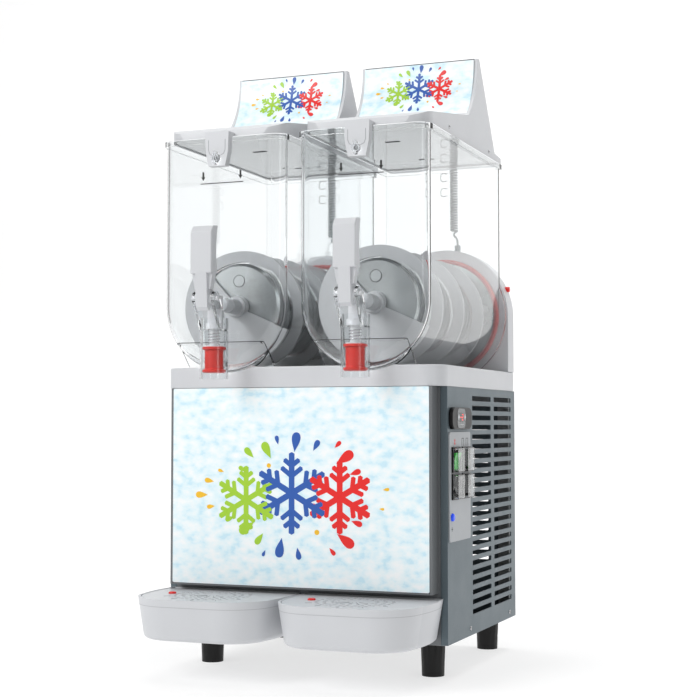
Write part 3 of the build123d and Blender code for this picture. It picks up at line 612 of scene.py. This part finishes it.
def topper_motif(side_name, side):
    """The same motif, bent to the curved header panel."""
    low_end, middle_point, top_end = HEADER_ARC
    (cy, cz), radius = circle_through(low_end, middle_point, top_end)
    radius -= HEADER_PANEL_THICK
    foot = atan2(low_end[1] - cz, low_end[0] - cy)
    head = atan2(top_end[1] - cz, top_end[0] - cy)
    middle = (1 - HEADER_MOTIF_RISE) * foot + HEADER_MOTIF_RISE * head

    def place(u, v, height):
        angle = middle + v / radius
        reach = radius + SINK - height
        return (side * BOWL_X + u, cy + reach * cos(angle), cz + reach * sin(angle))

    printed_motif(f"topper_motif_{side_name}", f"lid_{side_name}", place, 0.45 * MM)


FILL_Z = 637.2 * MM
FILL_HALF = 31 * MM
ARROW_U = 27 * MM


def fill_mark(side_name, side):
    """Fill line on the bowl front, with an arrow pointing down at each end."""
    x = side * BOWL_X

    def place(u, v, height):
        return (x + u, BOWL_FRONT + SINK - height, FILL_Z + v)

    outlines = [box_outline(-FILL_HALF, FILL_HALF, -0.6 * MM, 0.6 * MM)]
    for u in (-ARROW_U, ARROW_U):
        outlines.append(box_outline(u - 1.3 * MM, u + 1.3 * MM, 9 * MM, 15.5 * MM))
        outlines.append([(u, 4 * MM), (u + 3 * MM, 9 * MM), (u - 3 * MM, 9 * MM)])
    name = f"fill_mark_{side_name}"
    add_print(name, outlines, place, 0.2 * MM, "cabinet", "print_and_shade_black")


def tongue_u_shade(side_name, side):
    """Painted shade of the U-shaped recess in the tongue on the lid's front: a thin grey strip that stands a
    hair proud.
    """
    x = side * BOWL_X
    bend = [(-12, 691), (-12, 678), (-10, 673), (-6, 671), (6, 671), (10, 673), (12, 678), (12, 691)]

    def place(u, v, height):
        return (x + u * MM, TONGUE_FRONT + SINK - height, v * MM)

    add_print(f"tongue_u_shade_{side_name}", strip(bend, 0.8), place, 0.12 * MM,
              f"lid_{side_name}", "line_shade")


# ---------------------------------------------------------------- controls on the right flank

def on_flank(x):
    """Place function for flat marks that face right; u runs to the rear and v up, in millimetres."""
    def place(u, v, height):
        return (x + height, u * MM, v * MM)
    return place


# strokes of the read-out in millimetres, and the strokes that make each of its signs
SEGMENTS = {
    "top": (-1.9, 3.5, 1.9, 3.5), "mid": (-1.9, 0, 1.9, 0), "low": (-1.9, -3.5, 1.9, -3.5),
    "upper_right": (2.2, 0.4, 2.2, 3.1), "lower_left": (-2.2, -3.1, -2.2, -0.4),
}
DIGITS = {
    "2": ("top", "mid", "low", "upper_right", "lower_left"),
    "-": ("mid",),
}
READ_OUT = "-2"
DIGIT_PITCH = 7.5
STROKE_WIDTH = 0.9
DIAL_Y = -42.5
DIAL_Z = 329.5
READ_OUT_Z = DIAL_Z + 1.5
KEY_CORNERS = ((1, 0), (0, 1.3), (-1, 0), (0, -1.3))
KEY_HALF = 3.6


def digit_strokes():
    """Bars of the read-out's digits."""
    strokes = []
    for number, digit in enumerate(READ_OUT):
        y = DIAL_Y - 8.5 + DIGIT_PITCH * number
        for key in DIGITS[digit]:
            u0, v0, u1, v1 = SEGMENTS[key]
            strokes.append(bar(y + u0, READ_OUT_Z + v0, y + u1, READ_OUT_Z + v1, STROKE_WIDTH))
    return strokes


def thermostat_face():
    """Face of the thermostat: grey centre, dark window, two white keys, marks and a red read-out."""
    _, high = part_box("thermostat")
    face = on_flank(high.x - SINK)
    centre = rounded(DIAL_Y - 22, DIAL_Y + 12, DIAL_Z - 12.5, DIAL_Z + 12.5, 7)
    window = rounded(DIAL_Y - 13, DIAL_Y + 4, DIAL_Z - 4.5, DIAL_Z + 7.5, 2)
    keys = []
    for y in (DIAL_Y - 17.5, DIAL_Y + 8.5):
        keys.append([(y + KEY_HALF * a, READ_OUT_Z + KEY_HALF * b) for a, b in KEY_CORNERS])
    dashes = []
    for y in (DIAL_Y - 13, DIAL_Y - 8, DIAL_Y - 3, DIAL_Y + 2):
        dashes.append(box_outline(y, y + 2.4, DIAL_Z - 8.4, DIAL_Z - 7.2))
    for name, outlines, depth, slot, material in (
            ("centre", [centre], 0.35, "black_plastic", "dial_grey"),
            ("window", [window], 0.55, "black_plastic", "glossy_black"),
            ("keys", keys, 0.9, "white_plastic", "white"),
            ("digits", digit_strokes(), 0.62, "red_plastic", "digit"),
            ("marks", dashes, 0.45, "white_plastic", "white")):
        add_print(f"thermostat_{name}", outlines, face, depth * MM, "cabinet", material)


def plate_symbols():
    """Plain marks over the switches: a red star, two open squares, and a cross under the lamp."""
    _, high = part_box("control_plate")
    face = on_flank(high.x - SINK)
    depth = 0.2 * MM
    star = [bar(-66, 296, -66, 303, 1.2), bar(-68.5, 297, -63.5, 302, 0.8), bar(-68.5, 302, -63.5, 297, 0.8)]
    add_print("mark_red", star, face, depth, "cabinet", "red")
    dark = []
    for y in (-32, -14):
        left, right = y - 4, y + 4
        corners = [(left, 295), (left, 304), (right, 304), (right, 295)]
        dark += [bar(*corners[0], *corners[1], 0.7), bar(*corners[3], *corners[2], 0.7),
                 bar(*corners[1], *corners[2], 0.7)]
    dark += [bar(-80.5, 190, -75.5, 190, 0.8), bar(-78, 187.5, -78, 192.5, 0.8)]
    add_print("mark_dark", dark, face, depth, "cabinet", "print_and_shade_black")


SWITCH_PLACES = ((-63, 277), (-21, 277), (-63, 243), (-21, 243))
COVER_HEIGHT = 6.0 * MM
COVER_WALL = 0.9 * MM


def cover_mesh(name, y, z, plate_x):
    """Open box with round corners, its mouth on the plate."""
    mesh = bmesh.new()
    outer = rounded(y - 14.5, y + 14.5, z - 15.2, z + 15.2, 3)
    inner = rounded(y - 13.4, y + 13.4, z - 14.1, z + 14.1, 2.2)
    base, top = plate_x - SINK, plate_x + COVER_HEIGHT
    rows = []
    for outline, level in ((outer, base), (outer, top), (inner, top - COVER_WALL), (inner, base)):
        rows.append([mesh.verts.new((level, u * MM, v * MM)) for u, v in outline])
    count = len(outer)
    for first, second in ((0, 1), (2, 3), (3, 0)):
        for i in range(count):
            j = (i + 1) % count
            mesh.faces.new((rows[first][i], rows[first][j], rows[second][j], rows[second][i]))
    mesh.faces.new(rows[1])
    mesh.faces.new(rows[2])
    bmesh.ops.recalc_face_normals(mesh, faces=mesh.faces)
    return finished(name, mesh)


def switch_covers():
    """Clear splash covers over the four rocker switches."""
    _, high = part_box("switch_frames")
    for number, (y, z) in enumerate(SWITCH_PLACES):
        name = f"switch_cover_{number}"
        cover = add_mesh(name, cover_mesh(name, y, z, high.x), "cabinet", "clear")
        cover.visible_shadow = False


# ---------------------------------------------------------------- small fittings

SCREW_PROFILE = ((0.5, 0.42), (0.85, 0.25), (1.0, 0.0))  # reach and height, as parts of the radius
SCREW_STEPS = 20


def screw(name, body, centre, radius):
    """Domed cross-head screw that faces right."""
    def place(u, v, height):
        return (centre[0] + height * radius, centre[1] + u * radius, centre[2] + v * radius)

    mesh = bmesh.new()
    angles = [tau * i / SCREW_STEPS for i in range(SCREW_STEPS)]
    rows = []
    for reach, height in SCREW_PROFILE:
        rows.append([mesh.verts.new(place(reach * cos(a), reach * sin(a), height)) for a in angles])
    mesh.faces.new(rows[0])
    for inner, outer in zip(rows, rows[1:]):
        for i in range(SCREW_STEPS):
            j = (i + 1) % SCREW_STEPS
            mesh.faces.new((inner[i], inner[j], outer[j], outer[i]))
    mesh.faces.new(list(reversed(rows[-1])))
    bmesh.ops.recalc_face_normals(mesh, faces=mesh.faces)
    add_mesh(name, finished(name, mesh), body, "chrome", smooth=True)
    # painted shade: the cross recess is drawn as flat near-black marks on the dome
    slots = [box_outline(-0.5, 0.5, -0.11, 0.11), box_outline(-0.11, 0.11, -0.5, 0.5)]
    add_print(name + "_cross", slots, lambda u, v, h: place(u, v, 0.425 + h), 0.03,
              body, "print_and_shade_black")


PANEL_SCREWS = ((7, 56), (197, 55))
PANEL_SCREW_R = 3.2 * MM
LID_SCREWS = ((-39, 709), (144, 708))
LID_SCREW_R = 2.6 * MM


def place_screws():
    """Screws of the right flank sheet and of the right side of each lid."""
    _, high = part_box("side_panel_right")
    for number, (y, z) in enumerate(PANEL_SCREWS):
        screw(f"panel_screw_right_{number}", "cabinet", (high.x, y * MM, z * MM), PANEL_SCREW_R)
    for side_name in SIDES:
        _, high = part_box(f"lid_{side_name}")
        for number, (y, z) in enumerate(LID_SCREWS):
            centre = (high.x, y * MM, z * MM)
            screw(f"lid_screw_{side_name}_{number}", f"lid_{side_name}", centre, LID_SCREW_R)


STRIP_HALF = 84.0
STRIP_FRONT = -135.0
STRIP_REAR = 205.0
STRIP_CORNER = 31.0
STRIP_WIDTH = 1.1


def lid_edge_strip(side_name, side):
    """Dark strip under the front and sides of the lid's edge."""
    x = side * BOWL_X
    steps = 8
    path = [(-STRIP_HALF, STRIP_REAR)]
    for middle_u, start in ((STRIP_CORNER - STRIP_HALF, pi), (STRIP_HALF - STRIP_CORNER, 1.5 * pi)):
        for i in range(steps + 1):
            angle = start + pi / 2 * i / steps
            path.append((middle_u + STRIP_CORNER * cos(angle),
                         STRIP_FRONT + STRIP_CORNER + STRIP_CORNER * sin(angle)))
    path.append((STRIP_HALF, STRIP_REAR))

    def place(u, v, height):
        return (x + u * MM, v * MM, LID_Z - 0.1 * MM + height)

    add_print(f"lid_seal_{side_name}", strip(path, STRIP_WIDTH), place, 0.9 * MM,
              f"lid_{side_name}", "print_and_shade_black")


GRILLE_Y = -158
GRILLE_RAYS = ((54, 62), (8, 24))  # where the outer and the inner lines start and end
RAY_WIDTH = 0.8


def tray_lines(side_name, side):
    """Raised radial lines on the front half of the grille, in dark grey for painted shade along them."""
    x = side * BOWL_X
    _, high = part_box(f"drip_grille_{side_name}")
    rays = []
    for degrees_round in (-150, -120, -90, -60, -30):
        a = radians(degrees_round)
        for inner, outer in GRILLE_RAYS:
            start = (inner * cos(a), GRILLE_Y + inner * sin(a))
            end = (outer * cos(a), GRILLE_Y + outer * sin(a))
            rays.append(bar(*start, *end, RAY_WIDTH))

    def place(u, v, height):
        return (x + u * MM, v * MM, high.z - SINK + height)

    add_print(f"grille_lines_{side_name}", rays, place, 0.35 * MM,
              f"drip_tray_{side_name}", "line_shade")


SEAM_TOP = 9.0 * MM  # below the tray's rim
SEAM_LOW = 9.7 * MM
SEAM_RELIEF = 0.12 * MM


def tray_step_band(side_name):
    """Fine moulded step round the outside of the tray, just under its rim: a band that stands out a hair,
    grey for painted shade along the step.
    """
    low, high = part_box(f"drip_tray_{side_name}")
    middle = (low + high) / 2
    mesh = bmesh.new()
    mesh.from_mesh(NODES[f"drip_tray_{side_name}"].data)
    bmesh.ops.remove_doubles(mesh, verts=mesh.verts, dist=0.01 * MM)
    for level, direction in ((high.z - SEAM_TOP, 1), (high.z - SEAM_LOW, -1)):
        geometry = list(mesh.verts) + list(mesh.edges) + list(mesh.faces)
        bmesh.ops.bisect_plane(mesh, geom=geometry, plane_co=(0, 0, level), plane_no=(0, 0, direction),
                               clear_outer=True)
    inside = [face for face in mesh.faces if face.normal.dot(face.calc_center_median() - middle) <= 0]
    bmesh.ops.delete(mesh, geom=inside, context="FACES")
    for vertex in mesh.verts:
        away = vertex.co - middle
        away.z = 0
        vertex.co += away.normalized() * SEAM_RELIEF
    name = f"tray_seam_{side_name}"
    add_mesh(name, finished(name, mesh), f"drip_tray_{side_name}", "step_line_shade", smooth=True)


DRUM_Z = 513.0
BOSS_R = 7.5
BOSS_EDGE_R = 8.0
BOSS_EDGE_STEPS = 32


def drum_boss(side_name, side):
    """Small round boss on the front of the cooling drum, with a dark line round it."""
    low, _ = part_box("evaporators")
    x = side * BOWL_X

    def place(u, v, height):
        return (x + u * MM, low.y + SINK - height, (DRUM_Z + v) * MM)

    add_print(f"drum_boss_{side_name}", [disc(0, 0, BOSS_R, 40)], place, 0.45 * MM,
              "cabinet", "steel")
    angles = [tau * i / BOSS_EDGE_STEPS for i in range(BOSS_EDGE_STEPS + 1)]
    edge = [(BOSS_EDGE_R * cos(angle), BOSS_EDGE_R * sin(angle)) for angle in angles]
    add_print(f"drum_boss_edge_{side_name}", strip(edge, 0.7), place, 0.3 * MM,
              "cabinet", "print_and_shade_black")


def soften_edges():
    """Rounds the moulded edges of the tap handles."""
    for name, width in SOFT_EDGES.items():
        node = NODES[name]
        weld = node.modifiers.new("weld", "WELD")
        weld.merge_threshold = 0.005 * MM
        bevel = node.modifiers.new("soft_edges", "BEVEL")
        bevel.width = width * MM
        bevel.segments = 3
        bevel.limit_method = "ANGLE"
        bevel.angle_limit = radians(40)
        bevel.use_clamp_overlap = True
        bevel.harden_normals = False


# ---------------------------------------------------------------- studio

WORLD_LIGHT = 0.36
COVE_HALF = 6.0
COVE_FRONT = -8.0
COVE_REAR = 3.0
COVE_TOP = 7.0
COVE_RADIUS = 1.5
COVE_STEPS = 12
COVE_GREY = (0.42, 0.42, 0.42)


def add_area(name, location, target, size, energy):
    """Rectangular soft box that points at a target."""
    light = bpy.data.lights.new(name, "AREA")
    light.shape = "RECTANGLE"
    light.size, light.size_y = size
    light.energy = energy
    lamp = bpy.data.objects.new(name, light)
    lamp.location = location
    lamp.rotation_euler = (Vector(target) - Vector(location)).to_track_quat("-Z", "Y").to_euler()
    bpy.context.scene.collection.objects.link(lamp)


def add_cove():
    """Pale floor that curves up into a back wall, and glows a little."""
    mesh = bmesh.new()
    bend = COVE_REAR - COVE_RADIUS
    profile = [(COVE_FRONT, 0.0), (bend, 0.0)]
    for i in range(1, COVE_STEPS + 1):
        angle = pi / 2 * i / COVE_STEPS
        profile.append((bend + COVE_RADIUS * sin(angle), COVE_RADIUS * (1 - cos(angle))))
    profile.append((COVE_REAR, COVE_TOP))
    rows = [[mesh.verts.new((x, y, z)) for y, z in profile] for x in (-COVE_HALF, COVE_HALF)]
    for i in range(len(profile) - 1):
        mesh.faces.new((rows[0][i], rows[1][i], rows[1][i + 1], rows[0][i + 1]))
    data = finished("cove", mesh)
    for polygon in data.polygons:
        polygon.use_smooth = True
    cove = bpy.data.objects.new("cove", data)
    bpy.context.scene.collection.objects.link(cove)
    s = Surface("cove_paper", COVE_GREY, 0.9, Specular_IOR_Level=0.0,
                Emission_Color=(1, 1, 1, 1), Emission_Strength=0.62)
    s.vary_color(s.noise(3.0), shades(COVE_GREY, 0.004))
    data.materials.append(s.material)


def add_world():
    """White surroundings to the eye, and dimmer ones for the light that they give."""
    world = bpy.data.worlds.new("studio")
    bpy.context.scene.world = world
    world.use_nodes = True
    tree = world.node_tree
    seen = tree.nodes.new("ShaderNodeLightPath").outputs["Is Camera Ray"]
    strength = tree.nodes.new("ShaderNodeMapRange")
    strength.inputs["To Min"].default_value = WORLD_LIGHT
    strength.inputs["To Max"].default_value = 1.0
    tree.links.new(seen, strength.inputs["Value"])
    tree.nodes["Background"].inputs["Color"].default_value = (1.0, 1.0, 1.0, 1.0)
    tree.links.new(strength.outputs["Result"], tree.nodes["Background"].inputs["Strength"])


def add_studio():
    """Pale cove, bright surroundings and soft boxes."""
    add_cove()
    add_world()
    add_area("key", (-1.7, -2.6, 2.2), (0, 0, 0.45), (1.8, 1.8), 62)
    add_area("fill", (2.6, -1.6, 1.2), (0, 0, 0.4), (0.8, 2.0), 9)
    add_area("top", (0.0, 0.2, 3.0), (0, 0, 0.4), (2.0, 2.0), 26)
    add_area("backdrop", (0.0, 0.9, 2.6), (0, 3.0, 1.0), (3.0, 1.0), 40)


# ---------------------------------------------------------------- make it

add_camera()
MATERIALS = make_materials()
dress_cad_nodes()
for side_name, side_sign in SIDES.items():
    curly_lead(side_name, side_sign)
    tap_spring(side_name, side_sign)
    topper_motif(side_name, side_sign)
    fill_mark(side_name, side_sign)
    lid_edge_strip(side_name, side_sign)
    tongue_u_shade(side_name, side_sign)
    tray_lines(side_name, side_sign)
    drum_boss(side_name, side_sign)
    cord_clips(side_name, side_sign)
    painted_ledge_line(side_name, side_sign)
    tray_step_band(side_name)
soften_edges()
place_screws()
thermostat_face()
plate_symbols()
switch_covers()
front_motif()
add_studio()
bpy.context.scene.view_settings.view_transform = "Standard"
